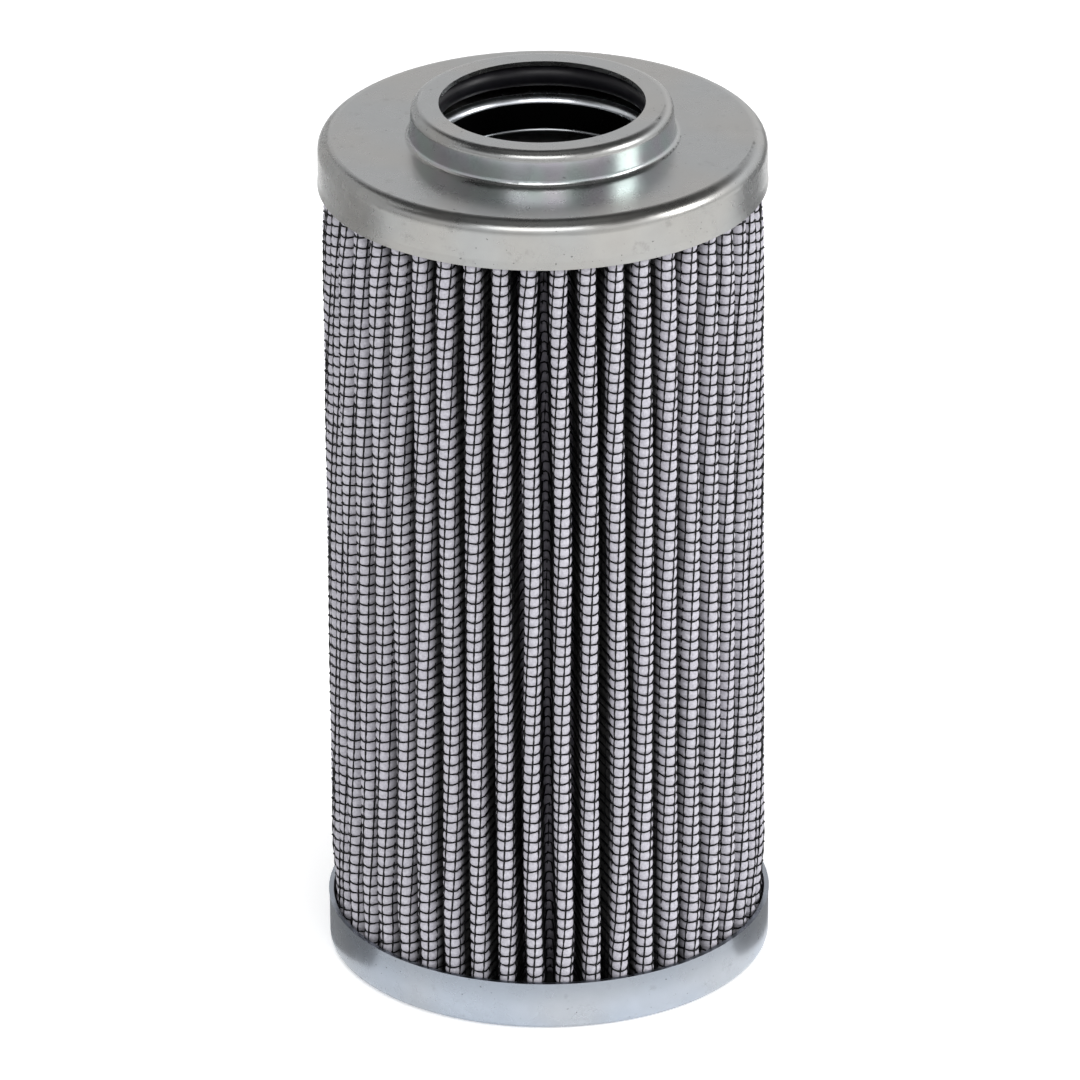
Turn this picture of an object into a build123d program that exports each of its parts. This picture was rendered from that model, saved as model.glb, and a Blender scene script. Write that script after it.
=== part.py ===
from build123d import *
import os
from math import asin, atan2, cos, floor, hypot, pi, radians, sin, sqrt, tan

# Pleated filter element. It stands on its closed cap, with +Z up the bore.
# All sizes are millimetres.

# Driving sizes: pressed caps
plate_height = 130.0        # underside of the closed cap to the plate of the open cap
cap_radius = 33.0           # outside of either rim at its edge
cap_sheet = 0.7             # pressed steel
rim_flare = 0.1             # how far a rim opens at its edge
flare_height = 1.2          # height of the flared part of a rim
open_rim = 7.25             # depth of the open cap's rim
open_bend = 2.1
closed_rim = 7.55
closed_bend = 1.1

# Driving sizes: sealing collar of the open cap
lip_bore = 15.13            # radius of the hole that the housing's spigot enters
collar_radius = 19.15
collar_height = 5.1         # above the plate
collar_draft = 0.3          # how much wider the collar is at its foot
collar_bend = 1.4
collar_foot_bend = 0.9

# Driving sizes: seal, and the retainer that closes its groove from below
ring_section = 3.6
ring_float = 0.15           # free height between lip and ring
ring_fit = 0.02             # between ring and collar wall
guide_sheet = 0.7
guide_bore = 15.4
guide_bend = 1.2
guide_length = 5.0          # flange top to the lower end of the guide tube
flange_overhang = 2.8       # flange beyond the core tube

# Driving sizes: perforated core tube
core_bore = 20.4            # inside radius
core_sheet = 0.8
hole_radius = 3.0
hole_pitch = 17.5           # along the tube and round it
hole_end_margin = 9.0       # plain tube left at either end

# Driving sizes: folded pack
crown_fit = 0.1             # between rim and crowns
fold_fit = 0.1              # between core tube and inner folds
outer_mesh = 0.3
media = 0.5
inner_mesh = 0.3
crown_inner_bend = 0.25     # inside radius of a fold at the crown
valley_bend = 0.4           # outside radius of a fold at the core
fold_gap = 0.1              # least free width inside a pleat at its foot
rib_height = 0.12           # lengthwise wires standing proud of a crown
rib_width = 0.3
crown_chords = 4            # straight runs in the half turn of a crown
valley_chords = 2
potting_depth = 3.5         # adhesive between a cap and the end of the pack

# Worked-out sizes
wall_radius = cap_radius - rim_flare
wall_inside = wall_radius - cap_sheet
plate_underside = plate_height - cap_sheet
collar_top = plate_height + collar_height
flange_underside = plate_underside - guide_sheet
core_outside = core_bore + core_sheet
flange_radius = core_outside + flange_overhang
pack_bottom = cap_sheet + potting_depth
pack_top = flange_underside - potting_depth

stack = outer_mesh + media + inner_mesh
crown_bend = stack + crown_inner_bend
crown_centre = wall_inside - crown_fit - rib_height - crown_bend
valley_centre = core_outside + fold_fit + valley_bend + stack
pleat_pitch = 2 * (valley_bend + stack) + fold_gap
pleat_count = floor(2 * pi * valley_centre / pleat_pitch)
pleat_angle = 2 * pi / pleat_count


def corner_arc(before, corner, after):
    """Tangent points and middle of the bend at a corner of an (r, z, bend) outline."""
    here = Vector(corner[0], 0, corner[1])
    back = (Vector(before[0], 0, before[1]) - here).normalized()
    onward = (Vector(after[0], 0, after[1]) - here).normalized()
    half_angle = radians(back.get_angle(onward)) / 2
    run = corner[2] / tan(half_angle)
    to_centre = (back + onward).normalized()
    middle = here + to_centre * (corner[2] / sin(half_angle) - corner[2])
    return here + back * run, middle, here + onward * run


def section(corners):
    """Closed face in the XZ plane through (r, z, bend) corners, a bend of 0 being sharp."""
    edges = []
    ends = []
    for i, corner in enumerate(corners):
        if corner[2] > 0:
            start, middle, end = corner_arc(corners[i - 1], corner, corners[(i + 1) % len(corners)])
            edges.append(ThreePointArc(start, middle, end))
        else:
            start = end = Vector(corner[0], 0, corner[1])
        ends.append((start, end))
    for i, (start, _) in enumerate(ends):
        edges.append(Line(ends[i - 1][1], start))
    return make_face(edges)


def turned(corners):
    """Solid of revolution about Z of an (r, z, bend) outline."""
    return revolve(section(corners), Axis.Z, 360)


def pressed(show_side, sheet):
    """Sheet of even thickness whose show side runs through (r, z, bend) corners.

    The hidden side lies to the right of the run, its bends tighter or wider by the sheet.
    """
    hidden_side = []
    last = len(show_side) - 1
    for i, (r, z, bend) in enumerate(show_side):
        before = show_side[max(i, 1) - 1]
        here = show_side[max(i, 1)]
        after = show_side[min(i, last - 1) + 1]
        onto = show_side[min(i, last - 1)]
        run_in = Vector(here[0] - before[0], here[1] - before[1]).normalized()
        run_out = Vector(after[0] - onto[0], after[1] - onto[1]).normalized()
        normal_in = Vector(run_in.Y, -run_in.X)
        normal_out = Vector(run_out.Y, -run_out.X)
        mitre = (normal_in + normal_out) * (sheet / (1 + normal_in.dot(normal_out)))
        turns_right = run_in.X * run_out.Y - run_in.Y * run_out.X < 0
        hidden_bend = bend - sheet if turns_right else bend + sheet
        hidden_side.append((r + mitre.X, z + mitre.Y, max(hidden_bend, 0) if bend > 0 else 0))
    return turned(show_side + hidden_side[::-1])


def make_top_end_cap():
    """Open cap: plate with a drawn collar that holds the seal, and a rim over the pack."""
    return pressed(
        [
            (lip_bore, collar_top, 0),
            (collar_radius, collar_top, collar_bend),
            (collar_radius + collar_draft, plate_height, collar_foot_bend),
            (wall_radius, plate_height, open_bend),
            (wall_radius, plate_height - open_rim + flare_height, 0),
            (cap_radius, plate_height - open_rim, 0),
        ],
        cap_sheet,
    )


def make_bottom_end_cap():
    """Closed cap: one pressed dish, its underside flat."""
    rim_wall = [
        (cap_radius, closed_rim, 0),
        (wall_radius, closed_rim - flare_height, 0),
        (wall_radius, 0, closed_bend),
    ]
    inside_bend = max(closed_bend - cap_sheet, 0)
    inner_wall = [
        (0, 0, 0),
        (0, cap_sheet, 0),
        (wall_inside, cap_sheet, inside_bend),
        (wall_inside, closed_rim - flare_height, 0),
        (wall_inside + rim_flare, closed_rim, 0),
    ]
    return turned(rim_wall + inner_wall)


def make_seal_ring():
    """Round-section ring lying under the lip, its outside against the collar wall."""
    centre_height = collar_top - cap_sheet - ring_float - ring_section / 2
    slope = collar_draft / collar_height
    wall_here = collar_radius + slope * (collar_top - centre_height)
    centre_radius = wall_here - (cap_sheet + ring_section / 2) * sqrt(1 + slope**2) - ring_fit
    return Pos(0, 0, centre_height) * Torus(centre_radius, ring_section / 2)


def make_seal_retainer():
    """Flanged guide: the flange closes the seal groove and caps the core tube."""
    return pressed(
        [
            (guide_bore, plate_underside - guide_length, 0),
            (guide_bore, plate_underside, guide_bend),
            (flange_radius, plate_underside, 0),
        ],
        guide_sheet,
    )


def make_core_tube():
    """Perforated tube that carries the inward pressure, its holes in staggered rows."""
    length = flange_underside - cap_sheet
    tube = Pos(0, 0, cap_sheet) * Cylinder(
        core_outside, length, align=(Align.CENTER, Align.CENTER, Align.MIN)
    )
    tube -= Pos(0, 0, cap_sheet) * Cylinder(
        core_bore, length, align=(Align.CENTER, Align.CENTER, Align.MIN)
    )
    punched = length - 2 * (hole_end_margin + hole_radius)
    rows = 1 + floor(punched / hole_pitch)
    around = floor(2 * pi * core_outside / hole_pitch)
    row_step = punched / (rows - 1)
    holes = []
    for row in range(rows):
        height = cap_sheet + hole_end_margin + hole_radius + row * row_step
        for place in range(around):
            turn = 360 / around * (place + (row % 2) / 2)
            hole = Cylinder(
                hole_radius, core_outside + hole_radius,
                align=(Align.CENTER, Align.CENTER, Align.MIN),
            )
            holes.append(Pos(0, 0, height) * Rot(0, 0, turn) * Rot(0, 90, 0) * hole)
    return tube - holes


def polar(centre, spread, heading):
    """Point at a distance and heading from a centre."""
    return centre + Vector(cos(heading), sin(heading)) * spread


def fold_line(depth, ribbed=False):
    """Closed outline of the folded pack at a depth below its outer face.

    Crowns and valleys are half turns about centres that every depth shares, so the
    layers lie face to face. The flanks are the inner tangents between the two.
    """
    inward = crown_centre - valley_centre * cos(pleat_angle / 2)
    across = valley_centre * sin(pleat_angle / 2)
    lean = asin((crown_bend + valley_bend) / hypot(inward, across)) - atan2(across, inward)
    crown_sweep = pi + 2 * lean
    valley_sweep = crown_sweep - pleat_angle
    points = []
    for pleat in range(pleat_count):
        crown_heading = pleat * pleat_angle
        crown = polar(Vector(0, 0), crown_centre, crown_heading)
        for step in range(crown_chords + 1):
            heading = crown_heading + crown_sweep * (step / crown_chords - 0.5)
            vertex = polar(crown, crown_bend - depth, heading)
            if ribbed and step in (1, crown_chords - 1):
                points.append(polar(vertex, rib_width / 2, heading - pi / 2))
                points.append(polar(vertex, rib_height, heading))
                points.append(polar(vertex, rib_width / 2, heading + pi / 2))
            else:
                points.append(vertex)
        valley_heading = crown_heading + pleat_angle / 2
        valley = polar(Vector(0, 0), valley_centre, valley_heading)
        for step in range(valley_chords + 1):
            heading = valley_heading + pi + valley_sweep * (0.5 - step / valley_chords)
            points.append(polar(valley, valley_bend + depth, heading))
    return points


def folded_layer(depth, thickness, ribbed=False):
    """One layer of the pack, from a depth below the outer face, folded all the way round."""
    outside = Wire.make_polygon(fold_line(depth, ribbed), close=True)
    inside = Wire.make_polygon(fold_line(depth + thickness), close=True)
    ring = Pos(0, 0, pack_bottom) * Face(outside, [inside])
    return extrude(ring, pack_top - pack_bottom, dir=(0, 0, 1))


def make_outer_wire_mesh():
    """Coated wire mesh on the dirty side, its lengthwise wires proud of each crown."""
    return folded_layer(0, outer_mesh, ribbed=True)


def make_filter_media():
    """White fibre media, folded between the two meshes."""
    return folded_layer(outer_mesh, media)


def make_inner_wire_mesh():
    """Support mesh on the clean side."""
    return folded_layer(outer_mesh + media, inner_mesh)


def make_open_end_potting():
    """Adhesive that bonds the pack and core tube to the open cap."""
    return turned(
        [
            (core_outside, pack_top, 0),
            (wall_inside, pack_top, 0),
            (wall_inside, plate_underside, max(open_bend - cap_sheet, 0)),
            (flange_radius, plate_underside, 0),
            (flange_radius, flange_underside, 0),
            (core_outside, flange_underside, 0),
        ]
    )


def make_closed_end_potting():
    """Adhesive that bonds the pack and core tube to the closed cap."""
    return turned(
        [
            (core_outside, cap_sheet, 0),
            (wall_inside, cap_sheet, max(closed_bend - cap_sheet, 0)),
            (wall_inside, pack_bottom, 0),
            (core_outside, pack_bottom, 0),
        ]
    )


pieces = {
    "top_end_cap": make_top_end_cap(),
    "bottom_end_cap": make_bottom_end_cap(),
    "seal_ring": make_seal_ring(),
    "seal_retainer": make_seal_retainer(),
    "core_tube": make_core_tube(),
    "outer_wire_mesh": make_outer_wire_mesh(),
    "filter_media": make_filter_media(),
    "inner_wire_mesh": make_inner_wire_mesh(),
    "open_end_potting": make_open_end_potting(),
    "closed_end_potting": make_closed_end_potting(),
}

os.makedirs("parts", exist_ok=True)
for node, piece in pieces.items():
    export_step(piece, f"parts/{node}.step")
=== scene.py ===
# %% [markdown]
# # A pleated filter element
#
# The element is a pack of folded white media under a black wire mesh, closed at both
# ends by pressed steel caps. The steel pieces, the seal and the core arrive finished in
# shape from the CAD frame, so here they only get their surfaces. The folded pack is what
# the CAD keeps simple: this script gives it soft folds, single wires and fibre.

# %% Load the frame
import math

import bpy
import numpy as np
from mathutils import Matrix, Vector


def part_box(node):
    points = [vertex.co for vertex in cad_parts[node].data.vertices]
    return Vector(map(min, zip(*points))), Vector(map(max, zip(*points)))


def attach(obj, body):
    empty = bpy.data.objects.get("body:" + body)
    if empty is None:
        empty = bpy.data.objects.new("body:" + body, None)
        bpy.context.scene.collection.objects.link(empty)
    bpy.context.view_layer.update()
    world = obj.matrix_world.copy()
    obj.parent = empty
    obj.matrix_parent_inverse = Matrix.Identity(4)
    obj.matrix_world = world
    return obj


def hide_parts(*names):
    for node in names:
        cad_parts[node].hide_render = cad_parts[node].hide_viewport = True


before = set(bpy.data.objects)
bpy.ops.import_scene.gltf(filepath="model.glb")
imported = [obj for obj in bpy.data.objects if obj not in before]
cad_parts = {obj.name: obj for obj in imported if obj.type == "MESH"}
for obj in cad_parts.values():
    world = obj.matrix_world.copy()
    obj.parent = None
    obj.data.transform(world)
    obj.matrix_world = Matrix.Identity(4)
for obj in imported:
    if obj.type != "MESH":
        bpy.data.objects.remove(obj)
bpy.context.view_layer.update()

# %% [markdown]
# ## Sizes
# Heights and radii are read from the frame's boxes, so the looks follow the model. Only
# what the frame doesn't hold is written here: the wire, the weave and the soft unevenness.

# %% Sizes, in metres
mm = 0.001

pack_low, pack_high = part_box("outer_wire_mesh")
bottom_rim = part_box("bottom_end_cap")[1].z
top_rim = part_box("top_end_cap")[0].z
core_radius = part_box("core_tube")[1].x
crown_tip = pack_high.x

pleats = 46
pleat_angle = 2 * math.pi / pleats
stack = 1.1 * mm             # both meshes and the media together
crown_bend = 1.35 * mm       # outside radius of a fold at its crown
valley_bend = 0.4 * mm       # outside radius of a fold at its foot
fold_fit = 0.1 * mm          # between the folds and the core tube
crown_centre = crown_tip - crown_bend
valley_centre = core_radius + fold_fit + valley_bend + stack

wire = 0.28 * mm
weave_pitch = 1.59 * mm
print("pack from", pack_low.z, "to", pack_high.z)
print("crowns reach", crown_tip, "and valleys bend about", valley_centre)

# %% [markdown]
# ## Shader arithmetic
# A finish is a small network of nodes. Written as plain expressions it reads like the
# maths it is, so one class wraps a socket and lets +, -, * and ** add the Math nodes. The
# other choice, wiring each node by hand, hides the idea behind the plumbing.

# %% A socket that takes part in arithmetic
class Value:
    """A number that varies over a surface."""

    def __init__(self, finish, socket):
        self.finish = finish
        self.socket = socket

    def maths(self, operation, first, second):
        return self.finish.node(
            "ShaderNodeMath", {"operation": operation}, {0: first, 1: second}
        )

    def __add__(self, other):
        return self.maths("ADD", self, other)

    def __radd__(self, other):
        return self.maths("ADD", other, self)

    def __sub__(self, other):
        return self.maths("SUBTRACT", self, other)

    def __rsub__(self, other):
        return self.maths("SUBTRACT", other, self)

    def __mul__(self, other):
        return self.maths("MULTIPLY", self, other)

    def __rmul__(self, other):
        return self.maths("MULTIPLY", other, self)

    def __pow__(self, other):
        return self.maths("POWER", self, other)

    def __rpow__(self, other):
        return self.maths("POWER", other, self)

    def over(self, low, high):
        """0 below low and 1 above high, with a soft step between."""
        return self.finish.node(
            "ShaderNodeMapRange",
            {"interpolation_type": "SMOOTHSTEP"},
            {"Value": self, "From Min": low, "From Max": high},
        )


# %% A finish: one material, or the world, and its nodes
class Finish:
    """A material, or the world, whose nodes are added by expressions."""

    def __init__(self, name, world=None):
        self.home = world or bpy.data.materials.new(name)
        self.home.use_nodes = True
        self.tree = self.home.node_tree
        self.shader = self.tree.nodes["Background" if world else "Principled BSDF"]

    def node(self, kind, settings, inputs, output=0):
        node = self.tree.nodes.new(kind)
        for name, setting in settings.items():
            if name == "stops":
                self.set_stops(node.color_ramp.elements, setting)
            else:
                setattr(node, name, setting)
        for name, value in inputs.items():
            self.feed(node.inputs[name], value)
        return Value(self, node.outputs[output])

    def set_stops(self, ramp, stops):
        """Gives a colour ramp its stops, each a place and a colour, from 0 up to 1."""
        ramp[0].color = stops[0][1]
        ramp[-1].color = stops[-1][1]
        for place, colour in stops[1:-1]:
            ramp.new(place).color = colour

    def feed(self, socket, value):
        if isinstance(value, Value):
            self.tree.links.new(value.socket, socket)
        else:
            socket.default_value = value

    def place(self):
        """Position on the object, in metres."""
        return self.node("ShaderNodeTexCoord", {}, {}, "Object")

    def axes(self, where=None):
        """The position's three coordinates."""
        where = where or self.place()
        split = self.node("ShaderNodeSeparateXYZ", {}, {0: where}).socket.node
        return [Value(self, split.outputs[i]) for i in range(3)]

    def stretched(self, scale):
        """The position with each axis scaled by its own factor."""
        return self.node(
            "ShaderNodeVectorMath", {"operation": "MULTIPLY"}, {0: self.place(), 1: scale}
        )

    def noise(self, size, detail=2, where=None, roughness=0.5):
        """Cloudy values around 0.5, whose patches are about size metres across."""
        where = where or self.place()
        return self.node(
            "ShaderNodeTexNoise",
            {},
            {"Vector": where, "Scale": 1 / size, "Detail": detail, "Roughness": roughness},
        )

    def blend(self, factor, colour_a, colour_b):
        """colour_a where the factor is 0 and colour_b where it is 1."""
        return self.node(
            "ShaderNodeMix",
            {"data_type": "RGBA"},
            {"Factor": factor, "A": colour_a, "B": colour_b},
            "Result",
        )

    def bump(self, height, depth):
        """Small relief: a height between 0 and 1, and how deep that is in metres."""
        return self.node(
            "ShaderNodeBump", {}, {"Height": height, "Distance": depth, "Strength": 1.0}
        )

    def wear(self, **sockets):
        """Sets sockets of the shader, their names written with underscores."""
        for name, value in sockets.items():
            self.feed(self.shader.inputs[name.replace("_", " ")], value)
        print(self.home.name, "has", len(self.tree.nodes), "nodes")
        return self.home


# %% [markdown]
# ## Tints
# No steel is a pure grey. A tint scales a grey's red, green and blue by small amounts, so
# a level and a tint together make every colour of the metal, and either can be changed
# alone. Picking each colour whole would mix up the two.

# %% A grey and its tint
def grey(level, tint=(1, 1, 1)):
    return (level * tint[0], level * tint[1], level * tint[2], 1)


cool_grey = (0.96, 1.0, 1.04)
warm_grey = (1.02, 1.0, 0.95)
print("a middle grey is", grey(0.5, cool_grey), "when cool and", grey(0.5, warm_grey), "warm")

# %% [markdown]
# ## Zinc-plated steel
# The caps are pressed from sheet and zinc plated. The plating is a satin mirror, which
# shows mostly what stands round it. Marks drawn one by one would fit one cap only, so
# noises of different sizes make them: a slow bloom and a finer cloud wander between two
# tints and change the roughness, and pits and smudges lie on top. The collar's drawn wall
# is shinier and more colourful. Painted shade darkens the closed cap towards the edge of
# its rim, and down in the collar and round the guide, where little light reaches, painted
# shade makes the steel near black.

# %% Where the steel is painted in shade
soft_end = 0.05 * mm


def painted_shade_places(finish, shades):
    """1 in each place painted in shade: a smallest and largest radius, a smallest and largest
    height.
    """
    x, y, z = finish.axes()
    reach = (x * x + y * y) ** 0.5
    shade_mask = 0.0
    for near, far, low, high in shades:
        across = reach.over(near - soft_end, near) * reach.over(far + soft_end, far)
        shade_mask = shade_mask + across * z.over(low - soft_end, low) * z.over(high + soft_end, high)
    return shade_mask


# %% Colour of the plating
# the third grey serves both the smudges and the painted shade on the closed cap's rim
dark_steel, light_steel, smudge_and_shade_steel = 0.28, 0.42, 0.20
# the first grey is the pits' dirt; the second is painted shade, for the steel deep in the
# collar and round the guide where no light reaches
dirt, painted_shade_grey = 0.10, 0.03
sea_green = (0.84, 1.0, 0.98)
rose = (0.98, 0.94, 1.06)


def clean_plating(finish, tone, cool, warm, level):
    """Steel whose tint wanders from cool to warm, and its level from dark to light."""
    tint = finish.noise(16 * mm, detail=1).over(0.35, 0.65)
    dark = finish.blend(tint, grey(dark_steel * level, cool), grey(dark_steel * level, warm))
    light = finish.blend(tint, grey(light_steel * level, cool), grey(light_steel * level, warm))
    return finish.blend(tone, dark, light)


def colourful_plating(finish):
    """The tints of the collar's wall, where the drawing has polished it."""
    sheen = finish.noise(6 * mm, detail=1).over(0.35, 0.65)
    return finish.blend(sheen, grey(0.50, sea_green), grey(0.46, rose))


# %% Plated steel
nowhere = (9.0, 9.1)         # heights that no piece reaches


def plated_steel(name, cool, warm, level=1.0, wall=nowhere, rim_shade_heights=nowhere, shades=()):
    """Plating with a colourful wall, a band of painted shade and places of painted shade.

    wall is the wall's lowest and highest height. Over the two heights given after it,
    painted shade darkens the steel, and shades lists the places painted in shade.
    """
    finish = Finish(name)
    bloom = finish.noise(11 * mm, detail=4)
    cloud = finish.noise(2.6 * mm, detail=3)
    grain = finish.noise(0.14 * mm, detail=2)
    pits = finish.noise(0.5 * mm, detail=1).over(0.74, 0.79)
    smudges = finish.noise(3.5 * mm, detail=5, roughness=0.7).over(0.58, 0.72)
    z = finish.axes()[2]
    collar = z.over(wall[0], wall[0] + 0.8 * mm) * z.over(wall[1], wall[1] - 0.5 * mm)
    tone = (bloom - 0.5) * 0.7 + (cloud - 0.5) * 0.4 + (grain - 0.5) * 0.12 + 0.5
    steel = clean_plating(finish, tone, cool, warm, level)
    # painted shade: the closed cap's rim darker towards its edge
    painted_rim_shade = z.over(rim_shade_heights[0], rim_shade_heights[1]) * 0.6
    steel = finish.blend(painted_rim_shade, steel, grey(smudge_and_shade_steel * level, cool))
    steel = finish.blend(collar * 0.75, steel, colourful_plating(finish))
    steel = finish.blend(smudges * 0.35, steel, grey(smudge_and_shade_steel * level, warm))
    steel = finish.blend(pits * 0.7, steel, grey(dirt))
    # painted shade: near black where the steel lies deep in the collar or round the guide
    if shades:
        steel = finish.blend(painted_shade_places(finish, shades), steel, grey(painted_shade_grey))
    rough = (cloud - 0.5) * 0.10 + (bloom - 0.5) * 0.10 + pits * 0.15 - collar * 0.10 + 0.28
    height = bloom * 0.6 + cloud * 0.12 + grain * 0.02
    return finish.wear(
        Base_Color=steel,
        Metallic=1.0,
        Roughness=rough,
        Normal=finish.bump(height, 0.04 * mm),
    )


# %% [markdown]
# ## Dull steel, rubber and adhesive
# The core tube and the clean-side mesh sit in the dark, so they only need a dull metal.
# The seal is moulded rubber: nearly black, with a soft broad sheen. The adhesive is a
# dark filled resin that shows at most as a line inside the rims. One noise could serve
# them all, but each has its own grain, so each has its own few lines.

# %% Core steel
def core_steel():
    finish = Finish("core_steel")
    cloud = finish.noise(4 * mm, detail=4)
    grain = finish.noise(0.3 * mm, detail=2)
    tone = (cloud - 0.5) * 0.6 + (grain - 0.5) * 0.2 + 0.5
    return finish.wear(
        Base_Color=finish.blend(tone, grey(0.20), grey(0.42)),
        Metallic=1.0,
        Roughness=(cloud - 0.5) * 0.2 + 0.45,
        Normal=finish.bump(grain, 0.01 * mm),
    )


# %% Clean-side mesh
def plain_mesh():
    """Round wires drawn by a sine over the height, since this mesh is a plain sheet."""
    finish = Finish("plain_mesh")
    turns = finish.axes()[2] * (2 * math.pi / weave_pitch)
    grain = finish.noise(0.5 * mm, detail=2)
    wires = finish.node("ShaderNodeMath", {"operation": "SINE"}, {0: turns}).over(0.3, 0.9)
    return finish.wear(
        Base_Color=finish.blend(wires, grey(0.10), grey(0.38)),
        Metallic=1.0,
        Roughness=0.5 + (grain - 0.5) * 0.2,
        Normal=finish.bump(wires + grain * 0.1, 0.1 * mm),
    )


# %% Seal rubber
def black_rubber():
    finish = Finish("black_rubber")
    cloud = finish.noise(1.5 * mm, detail=3)
    grain = finish.noise(0.08 * mm, detail=2)
    return finish.wear(
        Base_Color=finish.blend(cloud, grey(0.004, (1, 1, 1.2)), grey(0.009, (1.05, 1, 1.3))),
        Roughness=(cloud - 0.5) * 0.12 + 0.34,
        Specular_IOR_Level=0.2,
        Normal=finish.bump(cloud * 0.5 + grain * 0.1, 0.01 * mm),
    )


# %% Adhesive
def adhesive():
    finish = Finish("adhesive")
    cloud = finish.noise(1.2 * mm, detail=4)
    return finish.wear(
        Base_Color=finish.blend(cloud, grey(0.02), grey(0.05)),
        Roughness=(cloud - 0.5) * 0.3 + 0.55,
        Normal=finish.bump(cloud, 0.1 * mm),
    )


# %% [markdown]
# ## White media and black wire
# The media is a felt of fine fibre, white with a breath of lilac: a fibre speckle and
# long faint strands break up its colour. Little light gets deep into a fold. The lamps
# alone show a part of that, and painted shade darkens the colour with depth for the rest:
# near black on the deep flanks, lighter at the valleys' foot, where light falls straight
# in, so the folds look as deep as they are. The wire has a thin resin coat, black and
# slightly glossy.

# %% Fibre media
folds_open = 0.9 * mm        # below the crowns: the felt is as white as it gets
folds_shaded = 3.0 * mm      # the painted shade is full
foot_starts = 7.0 * mm       # the painted shade starts to lighten towards the valley's foot
foot_full = 8.5 * mm


def white_media():
    finish = Finish("white_media")
    speckle = finish.noise(0.36 * mm, detail=4, roughness=0.7)
    strands = finish.noise(1 * mm, detail=3, where=finish.stretched((6.0, 6.0, 1.2)))
    cloud = finish.noise(7 * mm, detail=2)
    tone = (speckle - 0.5) * 2.6 + (strands - 0.5) * 0.5 + (cloud - 0.5) * 0.4 + 0.55
    felt = finish.blend(tone, (0.42, 0.405, 0.46, 1), (0.61, 0.60, 0.65, 1))
    x, y = finish.axes()[:2]
    reach = (x * x + y * y) ** 0.5
    # painted shade: near black on the deep flanks, a lighter grey at the valleys' foot
    foot = reach.over(crown_tip - foot_starts, crown_tip - foot_full)
    painted_depth_shade = finish.blend(foot, grey(0.05), grey(0.30, (1.0, 0.96, 1.1)))
    open_part = reach.over(crown_tip - folds_shaded, crown_tip - folds_open)
    return finish.wear(
        Base_Color=finish.blend(open_part, painted_depth_shade, felt),
        Roughness=(speckle - 0.5) * 0.2 + 0.85,
        Specular_IOR_Level=0.25,
        Normal=finish.bump(speckle + strands * 0.5, 0.03 * mm),
    )


# %% Coated wire
def coated_wire():
    finish = Finish("coated_wire")
    drips = finish.noise(0.5 * mm, detail=2)
    return finish.wear(
        Base_Color=finish.blend(drips, grey(0.003), grey(0.009, (1, 1, 1.15))),
        Roughness=(drips - 0.5) * 0.3 + 0.48,
        Specular_IOR_Level=0.2,
        Normal=finish.bump(drips, 0.02 * mm),
    )


# %% [markdown]
# ## Dressing the pieces of the frame
# Each piece that the CAD made takes one finish. The caps and the guide are the same
# plating, but not of one batch: the open cap is the greyest, the closed one bluer, and
# the guide lighter, because it stays clean. Separate materials keep these choices apart,
# where one material would have to know every piece.

# %% The three platings
greenish_grey = (0.98, 1.0, 0.99)
blue_grey = (0.92, 1.02, 1.16)
pale_blue_grey = (0.96, 1.02, 1.10)

guide_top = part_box("seal_retainer")[1].z
collar_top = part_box("top_end_cap")[1].z
collar_foot = top_rim + 7.3 * mm
collar_bend = 1.2 * mm       # the wall ends this far under the collar's top
collar_shade = 0.75 * mm     # and the painted shade inside this far under it
guide_shade = 1.0 * mm       # the painted shade in the guide's bore ends this far under its top
collar_inside = 18.48 * mm   # radii of the places painted in shade
guide_inside = 16.2 * mm
guide_outside = 16.9 * mm
far_out = 1.0

open_cap = plated_steel(
    "open_cap_plating",
    greenish_grey,
    warm_grey,
    wall=(collar_foot, collar_top - collar_bend),
    # painted shade inside the collar, under its lip
    shades=[(0.0, collar_inside, 0.0, collar_top - collar_shade)],
)
retainer = plated_steel(
    "retainer_plating",
    cool_grey,
    cool_grey,
    level=2.0,
    shades=[
        # painted shade in the guide's bore and outside the guide, so only its bend stays light
        (0.0, guide_inside, 0.0, guide_top - guide_shade),
        (guide_outside, far_out, 0.0, guide_top),
    ],
)
closed_cap = plated_steel(
    "closed_cap_plating",
    blue_grey,
    pale_blue_grey,
    level=1.25,
    # painted shade from 2.5 mm up to the rim's edge
    rim_shade_heights=(2.5 * mm, bottom_rim),
)

# %% Dress the pieces that come from the frame
resin = adhesive()
finishes = {
    "top_end_cap": open_cap,
    "bottom_end_cap": closed_cap,
    "seal_retainer": retainer,
    "seal_ring": black_rubber(),
    "core_tube": core_steel(),
    "inner_wire_mesh": plain_mesh(),
    "open_end_potting": resin,
    "closed_end_potting": resin,
}
for name, material in finishes.items():
    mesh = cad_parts[name].data
    mesh.materials.clear()
    mesh.materials.append(material)
print("dressed", len(finishes), "pieces of the frame")

# %% [markdown]
# ## The fold, as a function
# Media and wires lie on the same folds, so the fold is written once: a path coordinate
# runs over a crown, down a flank, round a valley and up the next pleat. Every piece asks
# this function where it lies. Real folds are never quite even, so slow waves push each
# crown sideways and let it swell between the caps.

# %% Shape of one fold
inward = crown_centre - valley_centre * math.cos(pleat_angle / 2)
sideways = valley_centre * math.sin(pleat_angle / 2)
both_bends = crown_bend + valley_bend
lean = math.asin(both_bends / math.hypot(inward, sideways)) - math.atan2(sideways, inward)
flank = math.sqrt(inward**2 + sideways**2 - both_bends**2)
mesh_depth = 0.16 * mm       # the weave's middle lies this deep
crown_run = (crown_bend - mesh_depth) * (math.pi / 2 + lean)
valley_run = (valley_bend + mesh_depth) * (math.pi / 2 + lean - pleat_angle / 2)
half_pleat = crown_run + flank + valley_run
print("a pleat is", 2 * half_pleat / mm, "mm of mesh, its flank", flank / mm, "mm")


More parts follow.
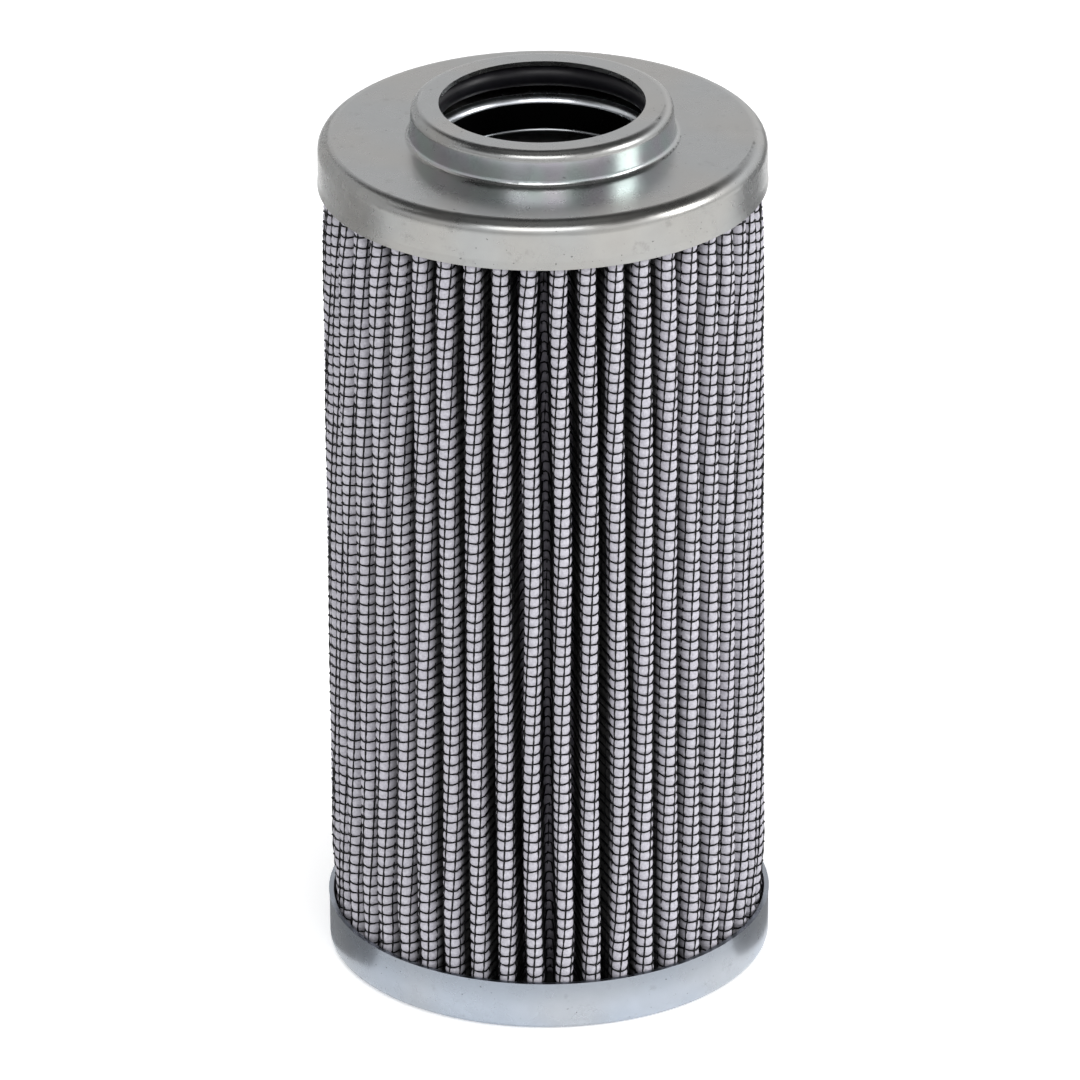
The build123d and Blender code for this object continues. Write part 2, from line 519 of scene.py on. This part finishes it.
def even_fold(size, depth):
    """How far out and aside an even pleat lies, at path distances from its crown."""
    crown = crown_bend - depth
    valley = valley_bend + depth
    round_crown = np.minimum(size, crown_run) / (crown_bend - mesh_depth)
    down = np.clip(size - crown_run, 0, flank)
    out = crown_centre + crown * np.cos(round_crown) - down * math.cos(lean)
    aside = crown * np.sin(round_crown) - down * math.sin(lean)
    in_valley = size > crown_run + flank
    past_flank = np.clip(size - crown_run - flank, 0, valley_run)
    turned = math.pi / 2 + lean - past_flank / (valley_bend + mesh_depth)
    foot_out = valley_centre * math.cos(pleat_angle / 2)
    foot_aside = valley_centre * math.sin(pleat_angle / 2)
    out = np.where(in_valley, foot_out - valley * np.cos(turned), out)
    aside = np.where(in_valley, foot_aside - valley * np.sin(turned), aside)
    return out, aside


# %% Unevenness of the folds
rng = np.random.default_rng(7)
crown_shift = rng.normal(0, 0.10, pleats) * mm       # each crown's own place
wave_size = rng.uniform(0.10, 0.26, pleats) * mm
wave_start = rng.uniform(0, 2 * math.pi, pleats)
wave_length = rng.uniform(70, 130, pleats) * mm
swell_size = rng.normal(0, 0.05, pleats) * mm        # each crown's own part of the swell
swell = 0.34 * mm                                    # how far all crowns stand out
widest_gap = 34                                      # the pleat left of the widest gap
crown_shift[widest_gap] -= 0.22 * mm
crown_shift[widest_gap + 1] += 0.22 * mm
held_length = 9 * mm                                 # the caps hold the folds this far
kept_shift = 0.4                                     # share of a shift left at the caps
print("crowns are shifted by up to", np.abs(crown_shift).max() / mm, "mm")


# %% The uneven fold
def soft_step(value):
    value = np.clip(value, 0, 1)
    return value * value * (3 - 2 * value)


def fold(run, height, depth):
    """Points on the folds at path runs and heights, depth below the outer face."""
    pleat = np.floor(run / (2 * half_pleat)).astype(int)
    own = run - (pleat + 0.5) * 2 * half_pleat
    pleat = pleat % pleats
    out, aside = even_fold(np.abs(own), depth)
    lift = soft_step((np.hypot(out, aside) - valley_centre) / (crown_centre - valley_centre))
    free = soft_step((height - bottom_rim) / held_length)
    free = free * soft_step((top_rim - height) / held_length)
    phase = 2 * math.pi * height / wave_length[pleat] + wave_start[pleat]
    shift = crown_shift[pleat] * (kept_shift + (1 - kept_shift) * free)
    shift = shift + wave_size[pleat] * np.sin(phase) * free
    aside = aside * np.sign(own) + shift * lift
    out = out + (swell + swell_size[pleat]) * free * lift
    heading = pleat * pleat_angle
    x = out * np.cos(heading) - aside * np.sin(heading)
    y = out * np.sin(heading) + aside * np.cos(heading)
    return np.stack([x, y, np.broadcast_to(height, x.shape)], axis=-1)


# %% [markdown]
# ## Meshes from grids
# Media and wires are all grids of points joined by quads. Blender could sweep a curve or
# run a modifier for each wire, but thousands of objects are slow to make and to move, so
# the grids are laid out with arrays and become one mesh for each piece.

# %% One mesh from points and quads
def piece(name, points, quads, material, stands_for):
    used, quads = np.unique(quads, return_inverse=True)
    quads = quads.reshape(-1, 4)
    points = points.reshape(-1, 3)[used]
    mesh = bpy.data.meshes.new(name)
    mesh.vertices.add(len(points))
    mesh.vertices.foreach_set("co", points.astype(np.float32).ravel())
    mesh.loops.add(quads.size)
    mesh.loops.foreach_set("vertex_index", quads.astype(np.int32).ravel())
    mesh.polygons.add(len(quads))
    mesh.polygons.foreach_set("loop_start", np.arange(0, quads.size, 4, dtype=np.int32))
    mesh.polygons.foreach_set("use_smooth", np.ones(len(quads), dtype=bool))
    mesh.update(calc_edges=True)
    mesh.materials.append(material)
    made = bpy.data.objects.new(name, mesh)
    bpy.context.collection.objects.link(made)
    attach(made, "root")
    if stands_for:
        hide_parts(stands_for)
    print(name, "has", 2 * len(quads), "triangles")


def grid_quads(rows, columns, closed=False):
    """Quads of a grid whose points are numbered along the rows."""
    last = columns if closed else columns - 1
    row, column = np.meshgrid(np.arange(rows - 1), np.arange(last), indexing="ij")
    here = row * columns
    above = (row + 1) * columns
    after = (column + 1) % columns
    corners = [here + column, here + after, above + after, above + column]
    return np.stack(corners, axis=-1).reshape(-1, 4)


# %% [markdown]
# ## The weave
# Upright and round wires cross over and under each other. Two numbers say where a point
# lies in the weave: how many upright wires and how many round wires come before it. The
# mesh was folded a little off square, so the uprights drift slowly across the crowns.

# %% Weave coordinates
whole_run = 2 * half_pleat * pleats
uprights = 2 * round(whole_run / weave_pitch / 2)
upright_pitch = whole_run / uprights
rounds = int((pack_high.z - pack_low.z) / weave_pitch)
round_pitch = (pack_high.z - pack_low.z) / rounds
print(uprights, "upright wires and", rounds, "round wires")


def drift(height):
    """How far the uprights have moved along the folds at a height."""
    off_square = 0.055
    meander, meander_length = 0.35 * mm, 17 * mm
    return off_square * height + meander * np.sin(height / meander_length)


def column_runs(flank_stop, first, last):
    """Path runs of the columns of some pleats, closer together on the crowns."""
    crown_steps = 3
    half = [crown_run * i / crown_steps for i in range(crown_steps + 1)]
    half += [crown_run + flank_stop, crown_run + flank, half_pleat]
    half = np.array(half)
    one = np.concatenate([-half[:0:-1], half[:-1]]) + half_pleat
    return np.concatenate([one + 2 * half_pleat * i for i in range(first, last)])


# %% [markdown]
# ## The media
# The felt is pressed through the wire mesh and stands out in soft pillows, one for each
# opening. A bump in the material could hint at them, but would leave the crowns' outline
# straight. So each pillow is a low swell in the depth that the fold function is given.

# %% Folded media
pillow_foot = 0.17 * mm      # where it meets a wire, the felt lies this far under the weave
pillow_height = 0.31 * mm
bluntness = 0.6              # the lower, the flatter the pillows and the sharper the creases
media_back = 0.8 * mm        # depth of the felt's clean side


def media_half(name, first, last):
    runs = column_runs(1.5 * mm, first, last)
    runs = np.append(runs, 2 * half_pleat * last)
    steps = 4
    heights = pack_low.z + np.arange(rounds * steps + 1) * round_pitch / steps
    run, height = np.meshgrid(runs, heights)
    up = np.abs(np.cos(math.pi * (height - pack_low.z) / round_pitch)) ** bluntness
    along = np.abs(np.sin(math.pi * (run - drift(height)) / upright_pitch)) ** bluntness
    depth = mesh_depth + pillow_foot - pillow_height * up * (0.5 + 0.5 * along)
    front = fold(run, height, depth)
    run, height = np.meshgrid(runs, heights[[-1, 0]])
    back = fold(run, height, media_back)
    points = np.concatenate([front, back])
    rows = len(points)
    quads = grid_quads(rows + 1, len(runs)) % (rows * len(runs))
    piece(name, points, quads, white_felt, "filter_media")


white_felt = white_media()
media_half("media_left", 0, pleats // 2)
media_half("media_right", pleats // 2, pleats)

# %% [markdown]
# ## The wires
# Each wire is a slim tube with four sides, which is round enough at a quarter of a
# millimetre once it is shaded smooth. Round wires go all the way about the pack, down
# each flank and through each valley. Uprights are left out on the inner part of the
# flanks, where nothing can be seen of them.

# %% Tubes round the middle of a wire
black_coat = coated_wire()
sides = 4
weave_middle = 0.5           # wires lie half a pitch above the foot of their row


def tube(middle, first_way, second_way):
    """Points round each point of middle, in the plane of two directions."""
    turns = np.arange(sides) * 2 * math.pi / sides
    ways = [first_way * math.cos(turn) + second_way * math.sin(turn) for turn in turns]
    return np.stack([middle + wire / 2 * way for way in ways], axis=2)


# %% Round wires
round_swing = 0.15 * mm      # how far a round wire goes over and under
sway = 0.07 * mm             # and up and down
sway_length = 5.1 * mm
sway_turn = 2.4              # from one wire's sway to the next


def round_wires(name, first, last):
    runs = column_runs(1.2 * mm, 0, pleats)
    rows = np.arange(first, last)
    run, row = np.meshgrid(runs, rows)
    height = pack_low.z + (row + weave_middle) * round_pitch
    cross = (run - drift(height)) / upright_pitch
    depth = mesh_depth - round_swing * np.cos(math.pi * (cross + row))
    height = height + sway * np.sin(run / sway_length + row * sway_turn)
    middle = fold(run, height, depth)
    ahead = np.roll(middle, -1, axis=1) - np.roll(middle, 1, axis=1)
    ahead /= np.linalg.norm(ahead, axis=-1, keepdims=True)
    upward = np.array([0, 0, 1])
    points = tube(middle, np.cross(ahead, upward), upward)
    each = grid_quads(len(runs) + 1, sides, closed=True) % (len(runs) * sides)
    starts = np.arange(len(rows))[:, None, None] * len(runs) * sides
    quads = (each[None] + starts).reshape(-1, 4)
    piece(name, points, quads, black_coat, "outer_wire_mesh")


third = rounds // 3
round_wires("round_wires_low", 0, third)
round_wires("round_wires_middle", third, 2 * third)
round_wires("round_wires_high", 2 * third, rounds)


# %% Upright wires
upright_swing = 0.07 * mm
seen_flank = 4.0 * mm        # the part of a flank, from the crown in, that can be seen
seen_valley = 0.9 * mm       # the part at a valley's foot


def upright_wires(name, first, last):
    wires = np.arange(first, last)
    row, number = np.meshgrid(np.arange(rounds), wires)
    height = pack_low.z + (row + weave_middle) * round_pitch
    run = (number * upright_pitch + drift(height)) % whole_run
    depth = mesh_depth + upright_swing * np.cos(math.pi * (number + row))
    points = tube(fold(run, height, depth), np.array([1, 0, 0]), np.array([0, 1, 0]))
    each = grid_quads(rounds, sides, closed=True).reshape(-1, sides, 4)
    starts = np.arange(len(wires))[:, None, None, None] * rounds * sides
    quads = (each[None] + starts).reshape(-1, sides, 4)
    size = np.abs(run % (2 * half_pleat) - half_pleat)
    shown = (size < crown_run + seen_flank) | (size > half_pleat - seen_valley)
    shown = (shown[:, 1:] & shown[:, :-1]).ravel()
    quads = quads[shown].reshape(-1, 4)
    piece(name, points, quads, black_coat, "outer_wire_mesh")


upright_wires("upright_wires_left", 0, uprights // 2)
upright_wires("upright_wires_right", uprights // 2, uprights)

# %% [markdown]
# ## The guide's rolled edge
# Down in the collar the guide under the seal ends in a fine rolled edge, which catches a
# line of light. A bevel on the guide's own mesh isn't possible, since the frame's pieces
# stay as they are, so a ring of small round section gives the edge its own highlight.

# %% Rolled edge
guide_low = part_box("seal_retainer")[0].z
edge_radius = 15.8 * mm
edge_section = 0.55 * mm     # radius of the small round section
edge_drop = 0.45 * mm        # its middle lies this far under the guide
edge_grey = (0.9, 1.0, 1.04)
edge_steel = plated_steel("edge_plating", edge_grey, cool_grey, level=0.8)


def rolled_edge(name, radius, height, section):
    turns, around = 192, 12
    turn, corner = np.meshgrid(
        np.linspace(0, 2 * math.pi, turns + 1),
        np.arange(around) * 2 * math.pi / around,
        indexing="ij",
    )
    out = radius + section * np.cos(corner)
    rise = height + section * np.sin(corner)
    points = np.stack([out * np.cos(turn), out * np.sin(turn), rise], axis=-1)
    quads = grid_quads(turns + 1, around, closed=True)
    piece(name, points, quads, edge_steel, None)


rolled_edge("guide_edge", edge_radius, guide_low - edge_drop, edge_section)

# %% [markdown]
# ## Camera
# A short lens close by would make the near cap's ellipse much rounder than the far one's.
# A long lens from nearly two metres keeps the two alike. The camera looks down by 25
# degrees, with half a degree of roll.

# %% Camera
camera_elevation = math.radians(25.107)
camera_roll = math.radians(-0.509)
camera_distance = 1.8429
target = Vector((-0.00088, 0, 0.064566))

camera = bpy.data.objects.new("camera", bpy.data.cameras.new("camera"))
bpy.context.collection.objects.link(camera)
back = Vector((0, -math.cos(camera_elevation), math.sin(camera_elevation)))
level_right = Vector((1, 0, 0))
level_up = back.cross(level_right)
right = level_right * math.cos(camera_roll) + level_up * math.sin(camera_roll)
up = level_up * math.cos(camera_roll) - level_right * math.sin(camera_roll)
turned = Matrix((right, up, back)).transposed().to_4x4()
camera.matrix_world = Matrix.Translation(target + back * camera_distance) @ turned
camera.data.sensor_width = 36
camera.data.lens = 414.8
camera.data.clip_start = 0.1
camera.data.clip_end = 20
bpy.context.scene.camera = camera
print("camera at", camera.matrix_world.translation)

# %% [markdown]
# ## Floor
# A pale floor runs far out, so it is the whole background. In a studio it would be lit
# until it is white. Here a little light of its own lifts it to white, for the camera, for
# reflections and through clear things only: lamps strong enough to do it would wash out
# the element, and light that the element received from below would fill its shadow.

# %% A flat sheet, for the floor and for boards
def flat_sheet(name, corners, material):
    mesh = bpy.data.meshes.new(name)
    mesh.from_pydata(corners, [], [(0, 1, 2, 3)])
    mesh.materials.append(material)
    made = bpy.data.objects.new(name, mesh)
    bpy.context.collection.objects.link(made)
    return made


def lying(x_low, x_high, near, far, height):
    corners = [(x_low, near), (x_high, near), (x_high, far), (x_low, far)]
    return [(x, y, height) for x, y in corners]


# %% Floor
floor_half = 12.0
floor_lift = 0.34            # its own light


def pale_floor():
    finish = Finish("pale_floor")
    cloud = finish.noise(0.4, detail=2)
    camera_rays = finish.node("ShaderNodeLightPath", {}, {}, "Is Camera Ray")
    rays = camera_rays.socket.node.outputs
    seen = camera_rays + Value(finish, rays["Is Glossy Ray"])
    seen = seen + Value(finish, rays["Is Transmission Ray"])
    return finish.wear(
        Base_Color=finish.blend(cloud, grey(0.93), grey(0.95)),
        Roughness=0.9,
        Specular_IOR_Level=0.1,
        Emission_Color=finish.blend(seen, grey(0.0), grey(floor_lift)),
        Emission_Strength=1.0,
    )


floor_place = lying(-floor_half, floor_half, -floor_half, floor_half, 0)
floor = flat_sheet("floor", floor_place, pale_floor())
print("floor of", 2 * floor_half, "m a side")

# %% [markdown]
# ## Lamps
# Three soft boxes light the element, since a plated bend mirrors its lamp and a small
# hard one would draw a thread. The key stands in front and high, and draws the line along
# each bend. One on the right opens the folds there. The third hangs overhead for the
# plate and the crowns, and is hidden from reflections, or the flat plate would mirror it.

# %% Soft boxes
aim = Vector((0, 0, 0.08))   # a little above the element's middle


def soft_box(name, azimuth, elevation, distance, width, height, power):
    """Area lamp aimed at the element; azimuth 0 is the camera's side, 90 its right."""
    lamp = bpy.data.lights.new(name, "AREA")
    lamp.shape = "RECTANGLE"
    lamp.size = width
    lamp.size_y = height
    lamp.energy = power
    made = bpy.data.objects.new(name, lamp)
    turn, rise = math.radians(azimuth), math.radians(elevation)
    level = math.cos(rise)
    towards = Vector((math.sin(turn) * level, -math.cos(turn) * level, math.sin(rise)))
    made.location = aim + towards * distance
    made.rotation_euler = towards.to_track_quat("Z", "Y").to_euler()
    bpy.context.collection.objects.link(made)
    print(name, "gives", power, "W from", made.location)
    return made


soft_box("key", azimuth=-4, elevation=42, distance=1.4, width=1.1, height=0.5, power=7.4)
soft_box("right_side", azimuth=78, elevation=27, distance=1.4, width=0.5, height=0.6, power=6.5)
overhead = soft_box(
    "overhead", azimuth=0, elevation=86, distance=1.2, width=0.6, height=0.6, power=6.4
)
overhead.visible_glossy = False

# %% [markdown]
# ## Flags
# Shiny round metal keeps its form when something dark stands at its sides. Two grey
# boards stand beside the element and two lie at its foot. Dark patches in the finish would
# do the same from one side only. Only reflections see the boards: they cast no shadow and
# hide nothing.

# %% Boards beside the element
def flag(name, corners, level):
    finish = Finish(name)
    cloud = finish.noise(0.1, detail=1)
    cloudy = finish.blend(cloud, grey(level), grey(level * 1.2))
    board = flat_sheet(name, corners, finish.wear(Base_Color=cloudy, Roughness=0.9))
    board.visible_camera = False
    board.visible_diffuse = False
    board.visible_shadow = False
    print(name, "is grey", level)


def standing(x, near, far, top):
    return [(x, near, 0), (x, far, 0), (x, far, top), (x, near, top)]


clearance = 0.4 * mm         # between the floor and the boards that lie on it
left_foot = lying(x_low=-0.08, x_high=-0.033, near=-0.018, far=0.05, height=clearance)
right_foot = lying(x_low=0.034, x_high=0.08, near=-0.014, far=0.05, height=clearance)

flag("left_flag", standing(x=-0.15, near=-0.02, far=0.60, top=0.32), level=0.55)
flag("right_flag", standing(x=0.17, near=0.06, far=0.60, top=0.12), level=0.45)
flag("left_foot_flag", left_foot, level=0.42)
flag("right_foot_flag", right_foot, level=0.36)

# %% [markdown]
# ## Studio air
# What the metal mirrors above the horizon is the room. A ramp over height makes it: pale
# walls, a dark ceiling, a little paler straight overhead. It grows slowly stronger to the
# right, so the two sides of the caps differ. Real walls and a ceiling would do the same,
# but each would be one more thing to build and to light.

# %% Studio air
left_strength, right_strength = 0.7, 1.2
bluish = (1, 1, 1.02)
room = [                     # how high a direction points, and the colour there
    (0.0, grey(0.80)),
    (0.44, grey(1.28, bluish)),
    (0.62, grey(0.10, bluish)),
    (0.90, grey(0.07, bluish)),
    (1.0, grey(0.34)),
]


def studio_air():
    air = Finish("studio_air", bpy.data.worlds.new("studio_air"))
    axes = air.axes(air.node("ShaderNodeTexCoord", {}, {}, "Generated"))
    strength = air.node(
        "ShaderNodeMapRange",
        {},
        {"Value": axes[0], "From Min": -1.0, "To Min": left_strength, "To Max": right_strength},
    )
    colour = air.node("ShaderNodeValToRGB", {"stops": room}, {"Fac": axes[2]}, "Color")
    return air.wear(Color=colour, Strength=strength)


bpy.context.scene.world = studio_air()
bpy.context.scene.view_settings.view_transform = "Standard"
